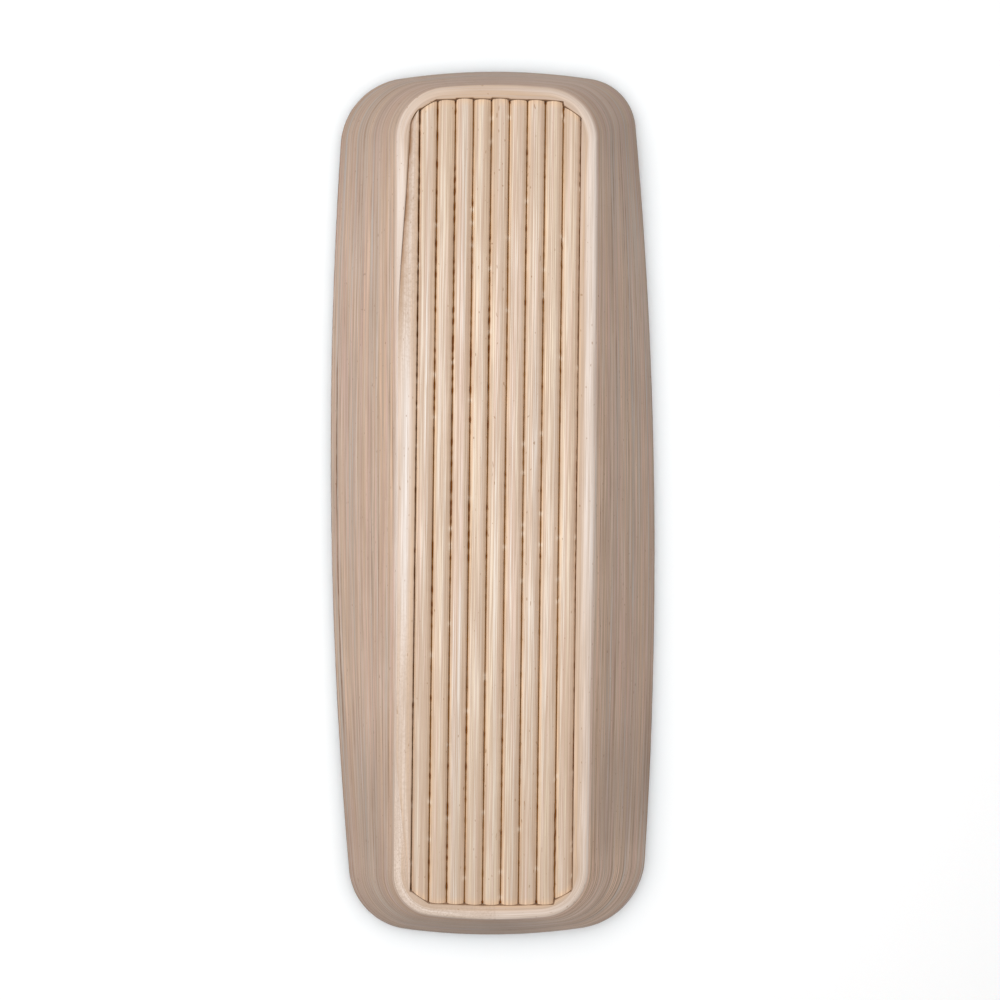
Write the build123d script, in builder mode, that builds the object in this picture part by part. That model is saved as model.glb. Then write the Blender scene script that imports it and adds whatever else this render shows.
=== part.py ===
"""A long, narrow tray of coiled bamboo, lying face down, in millimetres.

The tray is made as such trays are: nine half-round canes lie side by side, thin bamboo
strips are wound round them on edge, and each turn of strip is glued to the one inside it.
The first turns are level and make the foot ring. Each later turn sits a little lower than
the last, so that together they make a flaring wall. Both faces are then sanded smooth.

Frame: the tray lies on its rim in the plane Z = 0, mouth down, with its foot ring at the
top. +Y runs along the tray, and the origin is the middle of the rim.
"""

import os

from build123d import *

os.makedirs("parts", exist_ok=True)

# Heights
height = 70.0            # from the rim up to the sanded top of the foot ring
rim_edge = 1.2           # upright edge left on the outermost turn
floor_thickness = 5.0    # from the inside floor of the tray to the top of the foot ring
floor_level = height - floor_thickness

# Windings
foot_turns = 4
foot_turn_thickness = 1.7
wall_turns = 20
wall_thickness = 4.7     # measured level, across the wall, at the rim
floor_inset = 2.0        # from the top edge of the wall in to the edge of the inside floor
foot_width = foot_turns * foot_turn_thickness

# The foot ring's outer outline, before its corners are rounded. It is a little wider at
# the +Y end, and it was wound slightly askew of the rim.
foot_centre = (0.9, 0.6)
foot_twist = -1.1
foot_half_length = 186.9
foot_half_widths = (44.4, 46.0)                # at the -Y end, at the +Y end
foot_bulges = (0.6, 4.3, -0.7, 4.1)            # +X side, +Y end, -X side, -Y end
foot_corner_radii = (21.9, 24.4, 23.4, 18.7)   # counterclockwise from the +X -Y corner
foot_tightening = 1.9    # a foot turn's corner radius shrinks by this much for each mm inwards

# The rim's outline, in the same terms. Its sides are bowed out.
rim_half_length = 216.2
rim_half_widths = (74.8, 74.8)
rim_bulges = (9.4, 8.6, 9.4, 8.6)
rim_corner_radii = (38.6, 27.0, 36.4, 33.7)

# Canes
cane_count = 9
cane_pitch = 8.25
cane_gap = 0.25
cane_side_height = 2.6
cane_crown = 1.8
cane_end_gap = 0.3
bed_centre = (2.0, 0.6)
bed_twist = -1.3


def between(first, last, share):
    """The value that lies a share of the way from the first value to the last."""
    return first + (last - first) * share


def level_plane(share, level):
    """A level plane at one of the tray's outlines: share 0 is the foot's, 1 the rim's."""
    origin = (foot_centre[0] * (1 - share), foot_centre[1] * (1 - share), level)
    return Plane(origin).rotated((0, 0, foot_twist * (1 - share)))


def outline(share, inset=0.0, tightening=1.0, mode=Mode.ADD):
    """Fill the open sketch with an outline: four bowed sides, with rounded corners."""
    half_length = between(foot_half_length, rim_half_length, share) - inset
    near, far = (
        between(foot, rim, share) - inset
        for foot, rim in zip(foot_half_widths, rim_half_widths)
    )
    corners = [(near, -half_length), (far, half_length), (-far, half_length), (-near, -half_length)]
    with BuildSketch(Plane.XY, mode=Mode.PRIVATE) as filled:
        with BuildLine():
            for side, (foot_bulge, rim_bulge) in enumerate(zip(foot_bulges, rim_bulges)):
                start, end = corners[side], corners[(side + 1) % len(corners)]
                SagittaArc(start, end, -between(foot_bulge, rim_bulge, share))
        make_face()
        for corner, foot_radius, rim_radius in zip(corners, foot_corner_radii, rim_corner_radii):
            nearest = filled.vertices().sort_by_distance(corner)[0]
            fillet(nearest, between(foot_radius, rim_radius, share) - inset * tightening)
    add(filled.sketch, mode=mode)


def foot_outline(inset, mode=Mode.ADD):
    """Fill the open sketch with an outline inside the foot ring's, where corners are tighter."""
    outline(0, inset, foot_tightening, mode)


def finish(part, name):
    """Label a finished piece and write it as its own file."""
    part.label = name
    export_step(part, f"parts/{name}.step")


# The whole sanded body of strips, from which each turn is cut. It is not itself a piece.
with BuildPart() as coil_body:
    with BuildSketch(level_plane(1, 0)):
        outline(1)
    extrude(amount=rim_edge)
    with BuildSketch(level_plane(1, rim_edge)):
        outline(1)
    with BuildSketch(level_plane(0, height)):
        outline(0)
    loft(ruled=True)
    with BuildSketch(level_plane(1, 0)):
        outline(1, inset=wall_thickness)
    with BuildSketch(level_plane(0, floor_level)):
        outline(0, inset=floor_inset)
    loft(ruled=True, mode=Mode.SUBTRACT)
    with BuildSketch(level_plane(0, floor_level)):
        foot_outline(foot_width)
    extrude(amount=floor_thickness, mode=Mode.SUBTRACT)

# Foot ring: level turns inside the foot's outline, of one thickness but for their corners
for number in range(1, foot_turns + 1):
    outer_inset = foot_width - number * foot_turn_thickness
    with BuildPart() as foot_turn:
        add(coil_body.part)
        with BuildSketch(level_plane(0, 0)):
            foot_outline(outer_inset)
            foot_outline(outer_inset + foot_turn_thickness, mode=Mode.SUBTRACT)
        extrude(amount=height, mode=Mode.INTERSECT)
    finish(foot_turn.part, f"foot_turn_{number}")

# Wall: each turn lies outside the last one and slopes down with the wall
for number in range(1, wall_turns + 1):
    with BuildPart() as wall_turn:
        add(coil_body.part)
        with BuildSketch(level_plane((number - 1) / wall_turns, 0)):
            outline((number - 1) / wall_turns)
        extrude(amount=height, mode=Mode.SUBTRACT)
        if number < wall_turns:
            with BuildSketch(level_plane(number / wall_turns, 0)):
                outline(number / wall_turns)
            extrude(amount=height, mode=Mode.INTERSECT)
    finish(wall_turn.part, f"wall_turn_{number:02d}")

# Canes: a D-shaped section along the bed, with ends cut to the curve of the foot ring
bed_across = Vector(1, 0, 0).rotate(Axis.Z, bed_twist)
bed_along = Vector(0, 1, 0).rotate(Axis.Z, bed_twist)
bed_origin = Vector(*bed_centre, floor_level)
cane_half_width = (cane_pitch - cane_gap) / 2

for number in range(1, cane_count + 1):
    place = (number - (cane_count + 1) / 2) * cane_pitch
    with BuildPart() as cane:
        with BuildSketch(Plane(bed_origin + bed_across * place, x_dir=-bed_across, z_dir=bed_along)):
            with BuildLine():
                Polyline(
                    (-cane_half_width, cane_side_height),
                    (-cane_half_width, 0),
                    (cane_half_width, 0),
                    (cane_half_width, cane_side_height),
                )
                ThreePointArc(
                    (cane_half_width, cane_side_height),
                    (0, cane_side_height + cane_crown),
                    (-cane_half_width, cane_side_height),
                )
            make_face()
        extrude(amount=foot_half_length, both=True)
        with BuildSketch(level_plane(0, floor_level)):
            foot_outline(foot_width + cane_end_gap)
        extrude(amount=floor_thickness, mode=Mode.INTERSECT)
    finish(cane.part, f"cane_{number}")

# The tapered start of the winding fills the space between the first cane and the foot ring
start_edge = bed_origin - bed_across * (cane_count * cane_pitch / 2)
with BuildPart() as coil_start:
    with BuildSketch(level_plane(0, floor_level)):
        foot_outline(foot_width)
    extrude(amount=floor_thickness)
    split(bisect_by=Plane(start_edge, x_dir=bed_along, z_dir=-bed_across))
finish(coil_start.part, "coil_start")
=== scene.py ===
import math

import bmesh
import bpy
import numpy as np
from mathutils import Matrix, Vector


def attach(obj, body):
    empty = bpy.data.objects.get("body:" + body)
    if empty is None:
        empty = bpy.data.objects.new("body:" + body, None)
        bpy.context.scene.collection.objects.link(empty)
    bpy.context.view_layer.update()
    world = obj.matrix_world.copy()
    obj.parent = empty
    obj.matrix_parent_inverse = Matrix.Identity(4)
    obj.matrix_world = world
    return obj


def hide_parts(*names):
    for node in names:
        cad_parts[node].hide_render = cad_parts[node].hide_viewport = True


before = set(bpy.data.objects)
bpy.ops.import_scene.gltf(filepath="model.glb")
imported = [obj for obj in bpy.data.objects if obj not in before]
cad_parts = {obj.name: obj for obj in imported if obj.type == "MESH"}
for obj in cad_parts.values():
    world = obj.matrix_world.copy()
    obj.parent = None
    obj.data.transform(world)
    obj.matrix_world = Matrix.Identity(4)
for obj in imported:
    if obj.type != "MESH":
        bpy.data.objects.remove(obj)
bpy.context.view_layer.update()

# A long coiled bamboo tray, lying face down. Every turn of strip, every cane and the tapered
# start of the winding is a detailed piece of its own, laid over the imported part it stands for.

MM = 0.001

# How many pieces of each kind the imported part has
FOOT_TURNS = sum(name.startswith("foot_turn_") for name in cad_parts)
WALL_TURNS = sum(name.startswith("wall_turn_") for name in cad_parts)
CANES = sum(name.startswith("cane_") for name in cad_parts)

# Sections round the tray stand square to a path that runs round a straight spine
SECTIONS = 1060
SPINE_HALF = 140 * MM
SPINE_TURN = 80 * MM
CIRCUIT = 4 * SPINE_HALF + 2 * math.pi * SPINE_TURN
STATIONS = np.linspace(0, CIRCUIT, SECTIONS, endpoint=False)

# One strip
TOP_SHARES = np.array([0, 0.08, 0.22, 0.4, 0.6, 0.78, 0.92, 1])
BOTTOM_SHARES = np.array([1, 0.9, 0.5, 0.1, 0])
THIN_LINE = np.array([1, 0.45, 0, 0, 0, 0, 0, 0])      # glue showing at a strip's inner joint
WIDE_LINE = np.array([1, 0.95, 0.45, 0, 0, 0, 0, 0])
EDGE_LIGHT = np.array([0.2, 0.2, 0.14, 0.05, 0, 0, 0, 0])    # a pale inner edge on the +X side
JOINT_DEPTH = 0.05 * MM
UNEVENNESS = 0.02 * MM
ENDS_DARKER = 0.15             # how much painted shade darkens the wall towards the two ends
FOOT_STRIP_WIDTH = 1.7 * MM
WALL_STRIP_WIDTH = 4.0 * MM
SHOULDER_LEFT = 0.95 * MM
SHOULDER_RIGHT = 0.75 * MM

# The wide strip at the start of the winding presses the foot ring thin on the -X side
PINCH = 0.9
PINCH_FROM, PINCH_FULL = 188 * MM, 75 * MM
PINCH_EASES, PINCH_ENDS = -110 * MM, -176 * MM
LINE_FADES, LINE_FULL = 65 * MM, 120 * MM
VALLEY_ENDS = 176 * MM
VALLEY_DEPTH = 1.3 * MM
VALLEY_IN_STRIP = np.array([1, 0.75, 0.42, 0.15, 0.03, 0, 0, 0])
VALLEY_IN_START = np.array([1, 0.85, 0.62, 0.4, 0.2, 0.07, 0, 0, 0, 0, 0])

# Canes
CANE_STEPS = 730
CANE_SHARES = np.array([0, 0.008, 0.02, 0.05, 0.1, 0.2, 0.35, 0.5, 0.65, 0.8, 0.9, 0.95, 0.98, 0.992, 1])
CANE_CROWN = 1.5 * MM
CANE_EDGE = 0.16 * MM          # rounding of a cane's long edges
CANE_UNEVENNESS = 0.06 * MM
CUT_UNEVENNESS = 0.22 * MM     # how far from line the canes are cut off
CORNER_REACH = 3.0 * MM        # how much further out the outer side of the last cane goes
END_REACH = 0.9 * MM           # how much further out the other canes go
END_STRAIGHTNESS = 0.65        # how nearly the cut ends of the canes lie on one line
END_GAP = 0.08 * MM
GAP_DEPTH = 0.75 * MM          # down to the glue between two canes
GAP_WIDTHS = np.array([0.5, 0.44, 0.46, 0.42, 0.38, 0.34, 0.34, 0.34, 0.34, 0.46]) * MM
GAP_OPEN = 0.46 * MM           # a gap wider than this is painted near-black for the shade in an open hole, not brown
GAP_NARROWEST, GAP_WIDEST = 0.26 * MM, 0.66 * MM
NARROW_HIGH = (1, 2, 3, 4, 5)   # gaps that are narrower towards +Y
HOLES_NEAR, HOLES_FAR = (0, 4, 5, 7), (0, 5, 7, 8, 9)     # gaps that end in a small hole, whose shade is painted near-black
KNOTS = 7                      # places along each gap where a knot in a cane all but closes it

# Camera and light
CAMERA_HEIGHT = 560 * MM
CAMERA_ASIDE = (3.83 * MM, 1.58 * MM)
CAMERA_TURN = math.radians(-0.63)
FIELD_OF_VIEW = math.radians(50)
SOFTBOX_AT = (-0.29, 0.16, 1.46)
SOFTBOX_SIDE = 0.8
SOFTBOX_POWER = 22.8
DOME_STRENGTH = 0.26


def smooth(share):
    """Ease from 0 to 1 as the share goes from 0 to 1, and hold outside."""
    share = np.clip(share, 0, 1)
    return share * share * (3 - 2 * share)


def wander(count, waves, generator):
    """A random curve round a loop of count sections, about -1 to 1, with up to that many waves."""
    turn = np.linspace(0, 2 * np.pi, count, endpoint=False)
    curve = np.zeros(count)
    for wave in range(1, waves + 1):
        size, phase = generator.normal(), generator.uniform(0, 2 * np.pi)
        curve += size * np.cos(wave * turn + phase)
    return curve / math.sqrt(waves)


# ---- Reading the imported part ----

def sharp_loops(node):
    """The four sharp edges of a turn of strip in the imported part, each a counterclockwise loop."""
    body = bmesh.new()
    body.from_mesh(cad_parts[node].data)
    bmesh.ops.remove_doubles(body, verts=body.verts, dist=1e-6)
    body.normal_update()
    neighbours = {}
    for edge in body.edges:
        upright = [abs(face.normal.z) < 0.02 for face in edge.link_faces]
        if len(upright) == 2 and upright[0] != upright[1]:
            first, second = edge.verts
            neighbours.setdefault(first, []).append(second)
            neighbours.setdefault(second, []).append(first)
    loops, seen = [], set()
    for start in neighbours:
        if start in seen:
            continue
        loop, here = [], start
        while here is not None:
            loop.append(here.co[:])
            seen.add(here)
            here = next((vert for vert in neighbours[here] if vert not in seen), None)
        loop = np.array(loop)
        x, y = loop[:, 0], loop[:, 1]
        area = np.sum(x * np.roll(y, -1) - y * np.roll(x, -1))
        loops.append(loop if area > 0 else loop[::-1])
    body.free()
    return loops


def station(points):
    """How far round the tray points lie, from the middle of the +X side, counterclockwise."""
    x, y = points[:, 0], points[:, 1]
    half_turn = math.pi * SPINE_TURN
    turn = np.arctan2(y - np.clip(y, -SPINE_HALF, SPINE_HALF), x) * SPINE_TURN
    return np.select(
        [y > SPINE_HALF, y < -SPINE_HALF, x < 0, y >= 0],
        [SPINE_HALF + turn, 3 * SPINE_HALF + 2 * half_turn + turn, 2 * SPINE_HALF + half_turn - y, y],
        4 * SPINE_HALF + 2 * half_turn + y,
    )


def at_stations(dense):
    """Read a close loop of points at every station."""
    where = station(dense)
    return np.stack([np.interp(STATIONS, where, dense[:, k], period=CIRCUIT) for k in range(3)], axis=1)


def smooth_loop(loop):
    """Round a loop of points with Hermite curves, and read it at every station."""
    after = np.roll(loop, -1, axis=0)
    tangent = after - np.roll(loop, 1, axis=0)
    tangent /= np.linalg.norm(tangent, axis=1, keepdims=True)
    chord = np.linalg.norm(after - loop, axis=1)[:, None, None]
    t = np.linspace(0, 1, 24, endpoint=False)[None, :, None]
    dense = (
        (2 * t**3 - 3 * t**2 + 1) * loop[:, None]
        + (t**3 - 2 * t**2 + t) * chord * tangent[:, None]
        + (3 * t**2 - 2 * t**3) * after[:, None]
        + (t**3 - t**2) * chord * np.roll(tangent, -1, axis=0)[:, None]
    ).reshape(-1, 3)
    dense[:, 2] = np.clip(dense[:, 2], loop[:, 2].min(), loop[:, 2].max())
    return at_stations(dense)


def joints_between_turns():
    """The top and bottom edge of every joint, from the inside of the foot ring to the rim."""
    names = [f"foot_turn_{n}" for n in range(1, FOOT_TURNS + 1)]
    names += [f"wall_turn_{n:02d}" for n in range(1, WALL_TURNS + 1)]
    joints = []
    for name in names:
        loops = sorted(sharp_loops(name), key=lambda loop: np.ptp(loop[:, 0]))
        pairs = [loops[:2], loops[2:]] if name == "foot_turn_1" else [loops[2:]]
        for pair in pairs:
            bottom, top = sorted(pair, key=lambda loop: loop[:, 2].mean())
            joints.append([smooth_loop(top), smooth_loop(bottom)])
    return names, joints


def bed_axes():
    """The directions along and across the bed of canes, read from the middle cane."""
    name = f"cane_{(CANES + 1) // 2}"
    spots = np.array([vert.co[:2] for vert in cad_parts[name].data.vertices])
    along = np.linalg.svd(spots - spots.mean(axis=0), full_matrices=False)[2][0]
    along *= np.sign(along[1])
    return along, np.array([along[1], -along[0]])


BED_ALONG, BED_ACROSS = bed_axes()


def on_bed(across, along, z):
    """Points given across and along the bed, as X, Y and Z."""
    flat = across[..., None] * BED_ACROSS + along[..., None] * BED_ALONG
    return np.concatenate([flat, np.broadcast_to(z, across.shape)[..., None]], axis=-1)


def cut_canes():
    """Where each cane's sides and cut ends are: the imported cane's, cut straight and a little
    out of line. The ends are one pair for the left side and one for the right."""
    generator = np.random.default_rng(5)
    canes = []
    for number in range(1, CANES + 1):
        spots = np.array([vert.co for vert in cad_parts[f"cane_{number}"].data.vertices])
        along, across = spots[:, :2] @ BED_ALONG, spots[:, :2] @ BED_ACROSS
        sides = np.array([across.min(), across.max()])
        near = [along[np.abs(across - side) < 0.2 * MM] for side in sides]
        slips = generator.uniform(-1, 1, (2, 1)) * CUT_UNEVENNESS + generator.uniform(-0.4, 0.4, (2, 2)) * CUT_UNEVENNESS
        ends = np.array([[spots.min() for spots in near], [spots.max() for spots in near]])
        canes.append({"sides": sides, "ends": ends, "slips": slips, "low": spots[:, 2].min(), "high": spots[:, 2].max()})
    outwards = np.array([-1, 1])
    line = canes[CANES // 2]["ends"].mean(axis=1) + END_REACH * outwards
    for number, cane in enumerate(canes, start=1):
        straight = np.full(2, END_STRAIGHTNESS)
        if number == 1:
            straight[0] = 0
        if number == CANES:
            straight[:] = 0
            cane["ends"][:, 1] += CORNER_REACH * outwards
        cane["ends"] = cane["ends"] + straight * (line[:, None] - cane["ends"]) + cane["slips"]
    return canes


# ---- Making meshes ----

def skin(name, points, course, closed, **values):
    """A mesh over sections of points: points[i, j] is point j of section i, with its top first
    and its bottom last. The sections close into a loop, or else the two ends are capped.
    Course is a place in the grain for every point, and each value is a number for every point."""
    count, sides = points.shape[:2]
    spans = count if closed else count - 1
    i, j = (grid.ravel() for grid in np.meshgrid(np.arange(spans), np.arange(sides), indexing="ij"))
    corners_i = np.stack([i, i, i + 1, i + 1], axis=1)
    corners_j = np.stack([j, j + 1, j + 1, j], axis=1)
    verts = ((corners_i % count) * sides + corners_j % sides).ravel()
    sizes = np.full(len(i), 4)
    if not closed:
        first, last = np.arange(sides)[::-1], (count - 1) * sides + np.arange(sides)
        verts = np.concatenate([verts, first, last])
        sizes = np.concatenate([sizes, [sides, sides]])
    mesh = bpy.data.meshes.new(name)
    mesh.vertices.add(count * sides)
    mesh.vertices.foreach_set("co", points.astype(np.float32).ravel())
    mesh.loops.add(len(verts))
    mesh.loops.foreach_set("vertex_index", verts.astype(np.int32))
    mesh.polygons.add(len(sizes))
    mesh.polygons.foreach_set("loop_start", np.concatenate([[0], np.cumsum(sizes)[:-1]]).astype(np.int32))
    layer = mesh.attributes.new("course", "FLOAT_VECTOR", "POINT")
    layer.data.foreach_set("vector", course.astype(np.float32).ravel())
    for key, value in values.items():
        layer = mesh.attributes.new(key, "FLOAT", "POINT")
        spread = np.broadcast_to(np.asarray(value, np.float32), (count, sides))
        layer.data.foreach_set("value", np.ascontiguousarray(spread).ravel())
    mesh.update(calc_edges=True)
    mesh.validate()
    mesh.shade_smooth()
    mesh.set_sharp_from_angle(angle=math.radians(35))
    piece = bpy.data.objects.new(name, mesh)
    bpy.context.scene.collection.objects.link(piece)
    return piece


def hand_in(piece, node, material):
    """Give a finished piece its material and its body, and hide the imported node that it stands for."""
    piece.data.materials.append(material)
    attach(piece, "root")
    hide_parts(node)


# ---- The windings ----

def hug_canes(joints, canes):
    """Bring the foot ring's inner edge up to the canes' cut ends and the last cane's side."""
    inner_top, inner_bottom = joints[0]
    left, right = canes[0]["sides"][0], canes[-1]["sides"][1]
    across, along = inner_top[:, :2] @ BED_ACROSS, inner_top[:, :2] @ BED_ALONG
    outside = across < left - 0.1 * MM
    far, near = [], []
    for cane in canes:
        for side, inset in zip((0, 1), (0.05 * MM, -0.05 * MM)):
            near.append((cane["sides"][side] + inset, cane["ends"][0][side] - END_GAP))
            far.append((cane["sides"][side] + inset, cane["ends"][1][side] + END_GAP))
    near[-1] = (right + END_GAP, near[-1][1])
    far[-1] = (right + END_GAP, far[-1][1])
    order = np.argsort(-along[outside])
    side = list(zip(across[outside][order], along[outside][order]))
    corners = np.array(near + far[::-1] + side)
    after = np.roll(corners, -1, axis=0)
    t = np.linspace(0, 1, 30, endpoint=False)[None, :, None]
    dense = (corners[:, None] * (1 - t) + after[:, None] * t).reshape(-1, 2)
    for edge in (inner_top, inner_bottom):
        edge[:] = at_stations(on_bed(dense[:, 0], dense[:, 1], edge[:, 2].mean()))


def share_foot(joints):
    """Spread the foot ring's turns evenly between its inner edge and its shoulder, and press
    them outwards beside the wide start of the winding, on the -X side."""
    for level in (0, 1):
        inner, shoulder = joints[0][level].copy(), joints[FOOT_TURNS][level]
        eased = shoulder + sum(np.roll(inner - shoulder, k, axis=0) for k in range(-14, 15)) / 29
        y = inner[:, 1]
        press = PINCH * smooth((PINCH_FROM - y) / (PINCH_FROM - PINCH_FULL))
        press *= smooth((y - PINCH_ENDS) / (PINCH_EASES - PINCH_ENDS)) * (inner[:, 0] < 0)
        for number in range(FOOT_TURNS):
            share = (press + (1 - press) * number / FOOT_TURNS)[:, None]
            start = eased if number > 0 else inner
            joints[number][level][:, :2] = (start * (1 - share) + shoulder * share)[:, :2]


def outward_ways(joints):
    """The level direction out of the tray at every section, at the foot ring's shoulder."""
    shoulder = joints[FOOT_TURNS][0][:, :2]
    ways = joints[-1][0][:, :2] - shoulder
    return ways / np.linalg.norm(ways, axis=1, keepdims=True)


def shoulder_shape(joints, points, ways):
    """How far the sanding has lowered points of the top near the outside of the foot ring, and
    how much paler they are: wear, and a painted highlight. The -X side is the rounder and the paler."""
    shoulder, rim = joints[FOOT_TURNS][0], joints[-1][0]
    slope = (shoulder[:, 2] - rim[:, 2]) / np.linalg.norm(rim[:, :2] - shoulder[:, :2], axis=1)
    reach = np.einsum("ijk,ik->ij", points[:, :, :2] - shoulder[:, None, :2], ways)
    leftness = smooth((1 - ways[:, :1]) / 2)
    radius = SHOULDER_RIGHT + (SHOULDER_LEFT - SHOULDER_RIGHT) * leftness
    drop = slope[:, None] * radius * np.log1p(np.exp(-np.abs(reach) / radius))
    band = (5.0 + 0.8 * smooth(ways[:, :1])) * MM
    pale = smooth((reach + band) / (2.0 * MM)) * (1 - smooth(reach / (3 * radius) + 0.4))
    # Painted highlight and wear: the band is palest where the shoulder faces -X, less pale on +X, and its strength
    # changes along the sides and round the ends.
    worn = 0.1 + 0.85 * np.abs(ways[:, :1]) ** 2 + 0.35 * smooth(-ways[:, 1:])
    worn *= 1 - 0.5 * smooth((-shoulder[:, 1:2] - 10 * MM) / (80 * MM)) * np.abs(ways[:, :1])
    worn *= 1 - 0.35 * smooth(ways[:, :1])
    worn *= 1 - 0.35 * smooth((shoulder[:, 1:2] - 30 * MM) / (70 * MM)) * smooth(-ways[:, :1])
    return drop, pale * np.clip(worn, 0, 1)


def corner_shares(joints):
    """How sharply the winding bends at every section: 0 on the sides and 1 in the corners."""
    line = joints[FOOT_TURNS + WALL_TURNS // 2][0][:, :2]
    ahead, behind = np.roll(line, -6, axis=0) - line, line - np.roll(line, 6, axis=0)
    bend = np.arctan2(ahead[:, 1], ahead[:, 0]) - np.arctan2(behind[:, 1], behind[:, 0])
    bend = np.abs((bend + np.pi) % (2 * np.pi) - np.pi)
    return smooth(bend / 0.16)


def joint_darkness(number, joints):
    """How dark the glue shows along a joint: here and there, and along one joint near the rim."""
    generator = np.random.default_rng(40 + number)
    dark = generator.uniform(0.05, 0.3) + 0.3 * smooth(wander(SECTIONS, 14, generator) - 0.3)
    x, y = joints[number][0][:, 0], joints[number][0][:, 1]
    if number < FOOT_TURNS + 1:
        dark *= 0.4
    if number == 0:
        line = np.maximum(smooth((y - LINE_FADES) / (LINE_FULL - LINE_FADES)), 0.4 * smooth((y + 50 * MM) / (70 * MM)))
        dark = np.where(x < -30 * MM, line, 0.45)
    if number == FOOT_TURNS + WALL_TURNS:
        dark += 0.5
    if number == FOOT_TURNS + WALL_TURNS - 2:
        beside = smooth((y + 135 * MM) / (30 * MM)) * smooth((90 * MM - y) / (30 * MM)) * (x < 0)
        dark = np.maximum(dark, beside * (1 + 0.3 * wander(SECTIONS, 20, generator)))
    return np.clip(dark, 0, 1)


def turn_piece(name, number, joints, ways, corners):
    """One turn of strip between two joints, with its seeded height and dark glue lines."""
    generator = np.random.default_rng(100 + number)
    (inner_top, inner_bottom), (outer_top, outer_bottom) = joints[number], joints[number + 1]
    across = TOP_SHARES[None, :, None]
    top = inner_top[:, None] * (1 - across) + outer_top[:, None] * across
    back = BOTTOM_SHARES[None, :, None]
    bottom = inner_bottom[:, None] * (1 - back) + outer_bottom[:, None] * back
    lift = UNEVENNESS * (generator.uniform(-1, 0) - 0.5 + 0.4 * wander(SECTIONS, 9, generator))
    drop, pale = shoulder_shape(joints, top, ways)
    top[:, :, 2] += np.minimum(lift, 0)[:, None] - JOINT_DEPTH * (THIN_LINE + THIN_LINE[::-1]) - drop
    x, y = inner_top[:, 0], inner_top[:, 1]
    if number == 0:
        beside_start = smooth((y - LINE_FADES) / (LINE_FULL - LINE_FADES)) * (x < -20 * MM) * (y < VALLEY_ENDS)
        top[:, :, 2] -= VALLEY_DEPTH * beside_start[:, None] * VALLEY_IN_STRIP
    top[:, :, 2] = np.maximum(top[:, :, 2], 0)
    points = np.concatenate([top, bottom], axis=1)
    on_foot = number < FOOT_TURNS
    width = FOOT_STRIP_WIDTH if on_foot else WALL_STRIP_WIDTH
    shares = np.concatenate([TOP_SHARES, 30 + BOTTOM_SHARES])
    turn = 2 * np.pi * STATIONS / CIRCUIT
    course = np.empty(points.shape)
    course[:, :, 0] = (CIRCUIT / 2 / np.pi * np.cos(turn))[:, None]
    course[:, :, 1] = (CIRCUIT / 2 / np.pi * np.sin(turn))[:, None]
    course[:, :, 2] = width * (number + shares)
    inner_dark, outer_dark = (joint_darkness(n, joints)[:, None] for n in (number, number + 1))
    dark = inner_dark * (THIN_LINE + inner_dark * (WIDE_LINE - THIN_LINE))
    dark += outer_dark * (THIN_LINE + outer_dark * (WIDE_LINE - THIN_LINE))[:, ::-1]
    far = smooth((y - 90 * MM) / (70 * MM))
    grainy = smooth((-y - 90 * MM) / (60 * MM)) * (x < 0) * on_foot
    under = np.zeros((SECTIONS, len(BOTTOM_SHARES)))
    if number == 0:
        under[:, -1] = 1
    dark = np.concatenate([dark, under], axis=1)
    pale = np.concatenate([pale, under * 0], axis=1)
    if on_foot:
        warmth = 1.0 - 0.8 * number / (FOOT_TURNS - 1)
        warmth = warmth + (0.3 - warmth) * smooth(-x / (20 * MM))
        warmth = warmth + 0.4 * smooth(ways[:, 1])
        edge = np.concatenate([EDGE_LIGHT, under[0] * 0]) * (number == 0)
        # Painted shade: the foot ring darker towards the +Y end, a little towards the -Y end, and on the +X side.
        tone = 1 - 0.17 * smooth(ways[:, 1]) - 0.05 * smooth(-ways[:, 1]) - 0.07 * smooth(ways[:, 0])
    else:
        edge = np.zeros(points.shape[1])
        warmth = 0.75 - 0.5 * (number - FOOT_TURNS) / WALL_TURNS
        warmth = warmth + generator.uniform(-0.35, 0.35) + 0.2 * wander(SECTIONS, 12, generator)
        # Painted shade and light for how the softbox falls on the slopes: the wall darker towards both ends, most at
        # the -Y end, lighter in the +X, -Y corner, lighter near the foot and darker near the rim on +X, and darker in a
        # band low on the sides towards -Y. The last factor below, a random tone for each turn, is the strip's own.
        tone = 0.945 - ENDS_DARKER * smooth((np.abs(y) - 110 * MM) / (90 * MM)) * (1 - 0.7 * smooth(ways[:, 0]) * (y < 0))
        tone = tone * (1 - (0.22 - 0.06 * ways[:, 1]) * ways[:, 1] ** 4)
        tone = tone * (1 + 0.3 * np.clip(-2 * ways[:, 0] * ways[:, 1], 0, 1) ** 2 * (ways[:, 0] > 0))
        tone = tone * (1 - 0.05 * np.clip(2 * np.abs(ways[:, 0]) * ways[:, 1], 0, 1) ** 2)
        outwards = (number - FOOT_TURNS) / WALL_TURNS
        tone = tone * (1 + np.where(ways[:, 0] > 0, 0.12 - 0.17 * outwards, 0.02 - 0.05 * outwards) * np.abs(ways[:, 0]))
        low_side = smooth((-y - 90 * MM) / (45 * MM)) * (1 - smooth((-y - 160 * MM) / (25 * MM)))
        tone = tone * (1 - np.where(ways[:, 0] > 0, 0.13, 0.12) * low_side)
        tone = tone * (1 + generator.uniform(-0.045, 0.045) + 0.025 * wander(SECTIONS, 16, generator))
    return skin(
        name, points, course, True,
        joint=dark, pale=pale, seed=generator.uniform(0, 50), warmth=np.clip(warmth, 0, 1)[:, None],
        tone=tone[:, None] * (1 + edge * smooth(ways[:, :1])), contrast=((0.6 + 0.2 * corners) * (1 - 0.35 * far))[:, None] * (1 - 0.5 * pale), grainy=grainy[:, None],
    )


# ---- Canes and the start of the winding ----

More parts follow.
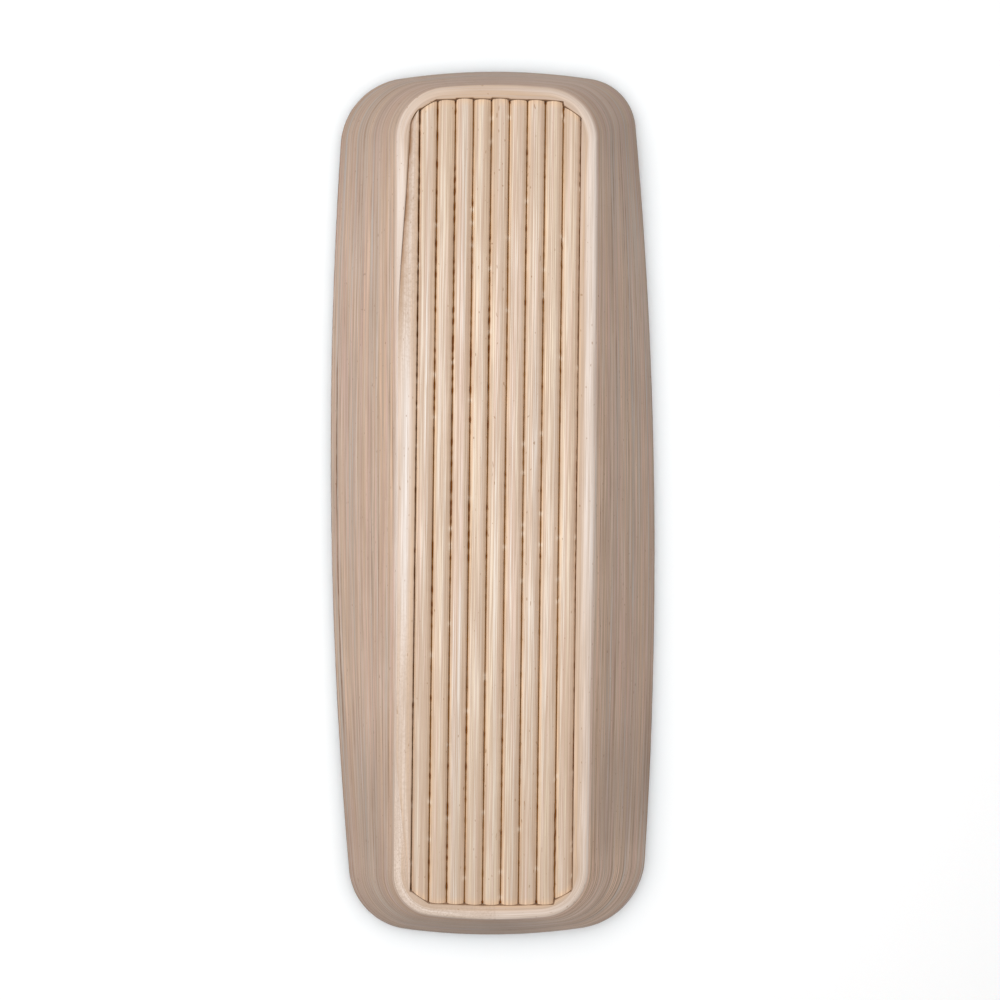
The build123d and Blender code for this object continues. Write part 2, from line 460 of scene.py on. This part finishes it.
def gap_curves():
    """The width of each gap beside the canes at every step along them, and how near a knot is."""
    curves, knots = [], []
    for number, width in enumerate(GAP_WIDTHS):
        generator = np.random.default_rng(200 + number)
        slow = wander(2 * CANE_STEPS, 10, generator)[:CANE_STEPS]
        quick = wander(2 * CANE_STEPS, 170, generator)[:CANE_STEPS]
        curve = width * (0.85 + 0.22 * slow + 0.38 * quick)
        if number == 0:
            curve *= 0.7 + 0.5 * smooth((np.arange(CANE_STEPS) / CANE_STEPS - 0.55) / 0.2)
        if number in NARROW_HIGH:
            curve *= 1 - 0.2 * smooth((np.arange(CANE_STEPS) / CANE_STEPS - 0.7) / 0.2)
        if number in HOLES_NEAR:
            curve[:3] = GAP_WIDEST
        if number in HOLES_FAR:
            curve[-3:] = GAP_WIDEST
        curve = np.clip(curve, GAP_NARROWEST, GAP_WIDEST)
        nearness = np.zeros(CANE_STEPS)
        for knot in generator.uniform(5, CANE_STEPS - 5, KNOTS):
            bump = np.exp(-((np.arange(CANE_STEPS) - knot) / 2.2) ** 2)
            curve *= 1 - 0.75 * bump
            nearness = np.maximum(nearness, bump)
        curves.append(curve)
        knots.append(nearness)
    return curves, knots


def cane_piece(number, cane, gaps, knots):
    """One split cane: crowned, with rounded edges that waver, glue beside it and square cut ends."""
    generator = np.random.default_rng(300 + number)
    left, right = cane["sides"]
    last = len(CANE_SHARES) - 1
    ledge = np.array([0, 0])
    left_edge = left + gaps[number - 1][:, None] / 2
    right_edge = right - gaps[number][:, None] / 2
    top_x = left_edge * (1 - CANE_SHARES) + right_edge * CANE_SHARES
    sway = CANE_UNEVENNESS * wander(2 * CANE_STEPS, 8, generator)[:CANE_STEPS, None]
    top_x = top_x + sway * (1 - np.abs(2 * CANE_SHARES - 1))
    beyond = 0.12 * MM
    beyond_left = 0.45 * MM if number == 1 else beyond
    full = np.ones((CANE_STEPS, 1))
    x = np.concatenate([
        top_x, right_edge, full * (right + beyond), full * (right + beyond),
        full * (left - beyond_left), full * (left - beyond_left), left_edge,
    ], axis=1)
    ease = np.minimum(CANE_SHARES, 1 - CANE_SHARES) * (right - left)
    rounding = CANE_EDGE * np.maximum(0, 1 - ease / (2 * CANE_EDGE)) ** 2
    crown = CANE_CROWN * np.abs(2 * CANE_SHARES - 1) ** 2.5
    lean = generator.normal() * 0.06 * MM * (2 * CANE_SHARES - 1)
    level = cane["high"] - 0.15 * MM + generator.normal() * 0.05 * MM
    heights = level - crown - rounding + lean
    ledge = heights.min() - GAP_DEPTH
    heights = np.concatenate([heights, [ledge, ledge, cane["low"], cane["low"], ledge, ledge]])
    shares = (x - left) / (right - left)
    starts = cane["ends"][0][0] * (1 - shares) + cane["ends"][0][1] * shares
    finishes = cane["ends"][1][0] * (1 - shares) + cane["ends"][1][1] * shares
    step = np.linspace(0, 1, CANE_STEPS)[:, None]
    y = starts * (1 - step) + finishes * step
    points = on_bed(x, y, heights)
    course = np.stack([y, np.full(y.shape, generator.uniform(-9, 9)), x], axis=2)
    glue = np.concatenate([np.zeros(len(CANE_SHARES)), [1, 1, 1, 1, 1, 1]])
    glue[0] = glue[last] = 0.5
    # Warm edges: wear, and on the wider left edge also a painted highlight where the light falls; the cut ends get them
    # too.
    edge = 1 - smooth(CANE_SHARES / 0.24) + 0.8 * (1 - smooth((1 - CANE_SHARES) / 0.08))
    edge = np.concatenate([edge, np.zeros(6)])
    # Painted shade down the right flank of the cane, away from the light.
    brown = np.concatenate([0.75 * smooth((CANE_SHARES - 0.55) / 0.35), np.zeros(6)])
    from_end = np.minimum(y - starts, finishes - y)
    edge = np.maximum(edge, 0.8 * (1 - smooth(from_end / (4 * MM))))
    chip_shares = np.concatenate([CANE_SHARES, np.full(6, 0.5)])
    chip = knots[number - 1][:, None] * (1 - smooth(chip_shares / 0.16))
    chip = np.maximum(chip, knots[number][:, None] * (1 - smooth((1 - chip_shares) / 0.16)))
    # Painted shade: the ledges near-black where a gap is wider than GAP_OPEN, for the dark inside an open hole.
    void = np.concatenate([
        np.zeros((CANE_STEPS, last + 1)),
        np.repeat(smooth((gaps[number][:, None] - GAP_OPEN) / (0.06 * MM)), 3, axis=1),
        np.repeat(smooth((gaps[number - 1][:, None] - GAP_OPEN) / (0.06 * MM)), 3, axis=1),
    ], axis=1)
    low = smooth((-y - 50 * MM) / (110 * MM))
    high = smooth((y - 60 * MM) / (110 * MM))
    warmth = generator.uniform(0, 1) + 0.6 * low + 0.5 * high
    tone = 1 - 0.16 * low - 0.1 * high
    return skin(
        f"cane_{number}.look", points, course, False,
        joint=glue, void=void, edge=edge, brown=brown, chip=chip, seed=generator.uniform(0, 50),
        warmth=np.clip(warmth, 0, 1), tone=tone,
    )


def start_piece(joints, canes, gaps):
    """The tapered start of the winding, between the first cane and the foot ring."""
    inner_top, inner_bottom = joints[0]
    bed_edge = canes[0]["sides"][0]
    along, across = inner_top[:, :2] @ BED_ALONG, inner_top[:, :2] @ BED_ACROSS
    keep = across < bed_edge - 0.3 * MM
    along, across = along[keep], across[keep]
    order = np.argsort(along)
    along, across = along[order], across[order]
    top_shares = np.array([0, 0.05, 0.12, 0.22, 0.35, 0.5, 0.65, 0.8, 0.9, 0.96, 1])
    shares = np.concatenate([top_shares, [1, 0.5, 0]])
    gap = np.interp(along, np.linspace(canes[0]["ends"][0][0], canes[0]["ends"][1][0], CANE_STEPS), gaps[0])
    x = across[:, None] * (1 - shares) + (bed_edge - gap[:, None] / 2) * shares
    y = np.broadcast_to(along[:, None], x.shape)
    top = joints[1][0][:, 2].max()
    apart = smooth((along[:, None] - LINE_FADES) / (LINE_FULL - LINE_FADES))
    dips = np.array([0, 0, 0, 0, 0, 0, 0.03, 0.12, 0.22, 0.35, 0.6]) * MM
    valley = VALLEY_DEPTH * VALLEY_IN_START * apart
    heights = np.concatenate([top - dips - valley, np.full((len(along), 3), inner_bottom[:, 2].mean())], axis=1)
    course = np.stack([y, np.full(y.shape, 4.0), x], axis=2)
    low = smooth((-along[:, None] - 10 * MM) / (80 * MM))
    high = smooth((along[:, None] - 40 * MM) / (60 * MM))
    valley_glue = np.concatenate([[0.8, 0.75, 0.65, 0.45, 0.25, 0.1], np.zeros(8)])
    side_glue = np.concatenate([np.zeros(10), [0.5, 1, 0, 0]])
    side = smooth((shares - 0.5) / 0.3) * (1 - high)
    # Paler across the middle of the start: wear and a painted highlight.
    pale = np.concatenate([[0.1, 0.15, 0.3, 0.6, 0.95, 1, 0.45, 0.12, 0, 0, 0], np.zeros(3)])
    warmth = np.concatenate([np.full(6, 0.3), [0.5, 0.75, 1, 1, 1], np.ones(3)])
    return skin(
        "coil_start.look", on_bed(x, y, heights), course, False,
        joint=valley_glue * apart + side_glue, pale=pale * (1 - 0.6 * high) * (1 - 0.6 * low),
        seed=3.0, warmth=np.clip(warmth + 0.4 * low, 0, 1), tone=1 - 0.05 * low - 0.08 * high - 0.05 * side,
        contrast=0.5, grainy=np.maximum(high, 0.6 * low),
    )


# ---- Materials ----

def add_node(tree, kind, inputs=None, **settings):
    """Add a node. Each input is either a socket to link or a value to set."""
    made = tree.nodes.new(kind)
    for setting, value in settings.items():
        setattr(made, setting, value)
    for key, value in (inputs or {}).items():
        if isinstance(value, bpy.types.NodeSocket):
            tree.links.new(value, made.inputs[key])
        else:
            made.inputs[key].default_value = value
    return made


def calc(tree, operation, first, second=0.0, clamp=False):
    """The result of a sum on sockets or numbers."""
    inputs = {0: first, 1: second}
    return add_node(tree, "ShaderNodeMath", inputs, operation=operation, use_clamp=clamp).outputs[0]


def blend(tree, factor, first, second, mode="MIX"):
    """Two colours mixed by a factor. A colour is a socket or three numbers."""
    colours = [value if isinstance(value, bpy.types.NodeSocket) else (*value, 1) for value in (first, second)]
    inputs = {0: factor, 6: colours[0], 7: colours[1]}
    return add_node(tree, "ShaderNodeMix", inputs, data_type="RGBA", blend_type=mode).outputs[2]


def number_on(tree, name):
    """A number stored on the mesh."""
    return add_node(tree, "ShaderNodeAttribute", attribute_name=name, attribute_type="GEOMETRY").outputs["Fac"]


def grain(tree, seed, along, across, low, high, detail=2.0):
    """Noise drawn out along the strip, from 0 below low to 1 above high. Along and across are
    the sizes of its patches, in metres, and a seed of 0 runs on from strip to strip."""
    course = add_node(tree, "ShaderNodeAttribute", attribute_name="course", attribute_type="GEOMETRY").outputs["Vector"]
    scale = (1 / along, 1 / along, 1 / across)
    stretched = add_node(tree, "ShaderNodeVectorMath", {0: course, 1: scale}, operation="MULTIPLY").outputs[0]
    shift = add_node(tree, "ShaderNodeCombineXYZ", {2: calc(tree, "MULTIPLY", seed, 7.31)}).outputs[0]
    place = add_node(tree, "ShaderNodeVectorMath", {0: stretched, 1: shift}, operation="ADD").outputs[0]
    inputs = {"Vector": place, "Scale": 1.0, "Detail": detail, "Roughness": 0.55}
    noise = add_node(tree, "ShaderNodeTexNoise", inputs).outputs["Fac"]
    return add_node(tree, "ShaderNodeMapRange", {0: noise, 1: low, 2: high}, clamp=True).outputs[0]


def bamboo(name, cool, warm, pink, shade, glue, widest, roughness):
    """Sanded bamboo. Long bands of a cool, a warm and a pink tint and narrower orange streaks; the
    lighter or darker streaks, fine dark fibres and brown glue in the joints are added in finish_bamboo."""
    material = bpy.data.materials.new(name)
    material.use_nodes = True
    tree = material.node_tree
    shader = tree.nodes["Principled BSDF"]
    seed, warmth = number_on(tree, "seed"), number_on(tree, "warmth")
    band = grain(tree, seed, 190 * MM, 1.3 * widest, 0.43, 0.56)
    heat = calc(tree, "ADD", calc(tree, "MULTIPLY", warmth, 0.55), calc(tree, "MULTIPLY", band, 0.45))
    colour = blend(tree, heat, cool, warm)
    rosy = grain(tree, calc(tree, "ADD", seed, 3.0), 120 * MM, 0.9 * widest, 0.5, 0.58)
    colour = blend(tree, calc(tree, "MULTIPLY", rosy, 0.8), colour, pink)
    orange = grain(tree, calc(tree, "ADD", seed, 11.0), 110 * MM, 0.4 * widest, 0.53, 0.6)
    colour = blend(tree, calc(tree, "MULTIPLY", orange, 0.6), colour, warm)
    # Scaled by the stored tone, which carries painted shade as well as each strip's own tone.
    tone = number_on(tree, "tone")
    colour = add_node(tree, "ShaderNodeVectorMath", {0: colour, "Scale": tone}, operation="SCALE").outputs[0]
    streak = grain(tree, calc(tree, "ADD", seed, 5.0), 70 * MM, 0.5 * widest, 0.45, 0.57)
    return material, tree, shader, seed, colour, streak


def finish_bamboo(material_parts, shade, glue, glue_amount, contrast, widest, roughness):
    """Add the streaks, the fibres, the glue, the gloss and the relief to a bamboo material."""
    material, tree, shader, seed, colour, streak = material_parts
    colour = blend(tree, calc(tree, "MULTIPLY", streak, calc(tree, "MULTIPLY", contrast, 0.75)), colour, shade)
    thin = grain(tree, calc(tree, "ADD", seed, 9.0), 38 * MM, 0.22 * widest, 0.5, 0.6)
    colour = blend(tree, calc(tree, "MULTIPLY", thin, calc(tree, "MULTIPLY", contrast, 0.8)), colour, shade)
    fibre = grain(tree, calc(tree, "ADD", seed, 14.0), 7 * MM, 0.13 * widest, 0.66, 0.78)
    colour = blend(tree, calc(tree, "MULTIPLY", fibre, 0.35), colour, glue)
    speck = grain(tree, calc(tree, "ADD", seed, 17.0), 2.4 * MM, 0.9 * MM, 0.81, 0.84, 0.0)
    colour = blend(tree, calc(tree, "MULTIPLY", speck, 0.5), colour, glue)
    colour = blend(tree, glue_amount, colour, glue)
    tree.links.new(colour, shader.inputs["Base Color"])
    rough = calc(tree, "ADD", roughness, calc(tree, "MULTIPLY", streak, 0.12))
    rough = calc(tree, "ADD", rough, calc(tree, "MULTIPLY", glue_amount, 0.4), True)
    tree.links.new(rough, shader.inputs["Roughness"])
    shader.inputs["Specular IOR Level"].default_value = 0.07
    relief = calc(tree, "ADD", calc(tree, "MULTIPLY", streak, 0.5), thin)
    bump = add_node(tree, "ShaderNodeBump", {"Strength": 0.5, "Distance": 0.06 * MM, "Height": relief})
    tree.links.new(bump.outputs[0], shader.inputs["Normal"])
    return material


def strip_material(name, cool, warm, pink, shade, glue, worn, widest, roughness):
    """Bamboo strip, paler along the shoulder from wear and a painted highlight, with glue showing along its joints."""
    parts = list(bamboo(name, cool, warm, pink, shade, glue, widest, roughness))
    tree, seed = parts[1], parts[3]
    # Paler along the shoulder: wear and a painted highlight.
    parts[4] = blend(tree, number_on(tree, "pale"), parts[4], worn)
    speckle = grain(tree, calc(tree, "ADD", seed, 25.0), 1.1 * MM, 0.9 * MM, 0.42, 0.68)
    speckle = calc(tree, "MULTIPLY", speckle, calc(tree, "MULTIPLY", number_on(tree, "grainy"), 0.6))
    parts[4] = blend(tree, speckle, parts[4], shade)
    contrast = number_on(tree, "contrast")
    patchy = grain(tree, seed, 12 * MM, 40 * MM, 0.3, 0.6)
    glue_amount = calc(tree, "MULTIPLY", number_on(tree, "joint"), calc(tree, "ADD", calc(tree, "MULTIPLY", patchy, 0.6), 0.4), True)
    return finish_bamboo(parts, shade, glue, glue_amount, contrast, widest, roughness)


def cane_material(name, cool, warm, pink, shade, glue, void, widest, roughness):
    """Split cane, with warm edges from wear and, on the left flank, a painted highlight, painted shade down the right
    flank, and brown glue in the gaps, painted near-black for the shade of the open hole where it is missing.
    """
    parts = list(bamboo(name, cool, warm, pink, shade, glue, widest, roughness))
    tree, seed = parts[1], parts[3]
    ragged = grain(tree, calc(tree, "ADD", seed, 21.0), 16 * MM, 20 * MM, 0.25, 0.6)
    edge = calc(tree, "MULTIPLY", number_on(tree, "edge"), calc(tree, "ADD", calc(tree, "MULTIPLY", ragged, 0.35), 0.6), True)
    # Painted shade: the right flank darker and browner, away from the light.
    parts[4] = blend(tree, number_on(tree, "brown"), parts[4], (0.56, 0.40, 0.28))
    # Warm edge colour: wear, and on the left flank also a painted highlight.
    parts[4] = blend(tree, edge, parts[4], (0.79, 0.55, 0.35))
    parts[4] = blend(tree, calc(tree, "MULTIPLY", number_on(tree, "chip"), 0.8), parts[4], (0.88, 0.76, 0.62))
    # Painted shade: near-black where a gap is open, for the dark inside the hole.
    missing = number_on(tree, "void")
    filler = blend(tree, missing, glue, void)
    return finish_bamboo(parts, shade, filler, number_on(tree, "joint"), 0.85, widest, roughness)


# ---- Camera, floor and light ----

def add_camera():
    """The camera hangs over the foot ring and looks straight down."""
    lens = bpy.data.cameras.new("camera")
    lens.sensor_width = 36
    lens.lens = lens.sensor_width / 2 / math.tan(FIELD_OF_VIEW / 2)
    camera = bpy.data.objects.new("camera", lens)
    camera.location = (*CAMERA_ASIDE, CAMERA_HEIGHT)
    camera.rotation_euler = (0, 0, CAMERA_TURN)
    bpy.context.scene.collection.objects.link(camera)
    bpy.context.scene.camera = camera


def add_floor():
    """A plain white floor of milky plastic, which darkens softly beside what stands on it."""
    half = 3.0
    corners = [(-half, -half, 0), (half, -half, 0), (half, half, 0), (-half, half, 0)]
    mesh = bpy.data.meshes.new("floor")
    mesh.from_pydata(corners, [], [(0, 1, 2, 3)])
    material = bpy.data.materials.new("floor")
    material.use_nodes = True
    shader = material.node_tree.nodes["Principled BSDF"]
    shader.subsurface_method = "BURLEY"
    shader.inputs["Base Color"].default_value = (0.97, 0.97, 0.97, 1)
    shader.inputs["Subsurface Weight"].default_value = 1.0
    shader.inputs["Subsurface Radius"].default_value = (1.2, 1.0, 0.9)
    shader.inputs["Subsurface Scale"].default_value = 46 * MM
    shader.inputs["Roughness"].default_value = 1.0
    shader.inputs["Specular IOR Level"].default_value = 0.0
    mesh.materials.append(material)
    floor = bpy.data.objects.new("floor", mesh)
    floor.location.z = -0.05 * MM
    bpy.context.scene.collection.objects.link(floor)


def add_light():
    """A big softbox overhead, leaning towards -X and +Y, in a white room."""
    lamp = bpy.data.lights.new("softbox", "AREA")
    lamp.shape = "SQUARE"
    lamp.size = SOFTBOX_SIDE
    lamp.energy = SOFTBOX_POWER
    softbox = bpy.data.objects.new("softbox", lamp)
    softbox.location = SOFTBOX_AT
    softbox.rotation_euler = (-Vector(SOFTBOX_AT)).to_track_quat("-Z", "Y").to_euler()
    bpy.context.scene.collection.objects.link(softbox)
    room = bpy.data.worlds.new("room")
    room.use_nodes = True
    room.node_tree.nodes["Background"].inputs[0].default_value = (1, 1, 1, 1)
    room.node_tree.nodes["Background"].inputs[1].default_value = DOME_STRENGTH
    bpy.context.scene.world = room
    bpy.context.scene.view_settings.view_transform = "Standard"


# ---- Putting it together ----

add_camera()
add_floor()
add_light()

# Painted shade: the wall's colours are kept darker than the foot ring's, partly for the shade on its slopes. Its last
# colour is the paler shoulder colour, for wear and a painted highlight.
wall_strip = strip_material(
    "wall_strip", (0.525, 0.48, 0.44), (0.675, 0.465, 0.33), (0.605, 0.41, 0.34), (0.37, 0.255, 0.18),
    (0.17, 0.08, 0.035), (0.78, 0.71, 0.665), 2.2 * MM, 0.5,
)
# The foot strip's last colour is its paler shoulder colour, for wear and a painted highlight.
foot_strip = strip_material(
    "foot_strip", (0.64, 0.53, 0.46), (0.66, 0.465, 0.32), (0.62, 0.465, 0.37), (0.47, 0.35, 0.26),
    (0.27, 0.13, 0.05), (0.80, 0.73, 0.685), 1.3 * MM, 0.45,
)
cane_stuff = cane_material(
    "cane", (0.745, 0.68, 0.63), (0.775, 0.635, 0.485), (0.71, 0.53, 0.44), (0.47, 0.33, 0.235),
    (0.24, 0.11, 0.033), (0.16, 0.052, 0.008), 1.1 * MM, 0.45,
)

turn_names, joints = joints_between_turns()
canes = cut_canes()
gaps, knots = gap_curves()
hug_canes(joints, canes)
share_foot(joints)
ways = outward_ways(joints)
corners = corner_shares(joints)
for number, name in enumerate(turn_names):
    kind, material = ("foot_strip", foot_strip) if number < FOOT_TURNS else ("wall_strip", wall_strip)
    hand_in(turn_piece(name + ".look", number, joints, ways, corners), name, material)
for number, cane in enumerate(canes, start=1):
    hand_in(cane_piece(number, cane, gaps, knots), f"cane_{number}", cane_stuff)
hand_in(start_piece(joints, canes, gaps), "coil_start", foot_strip)
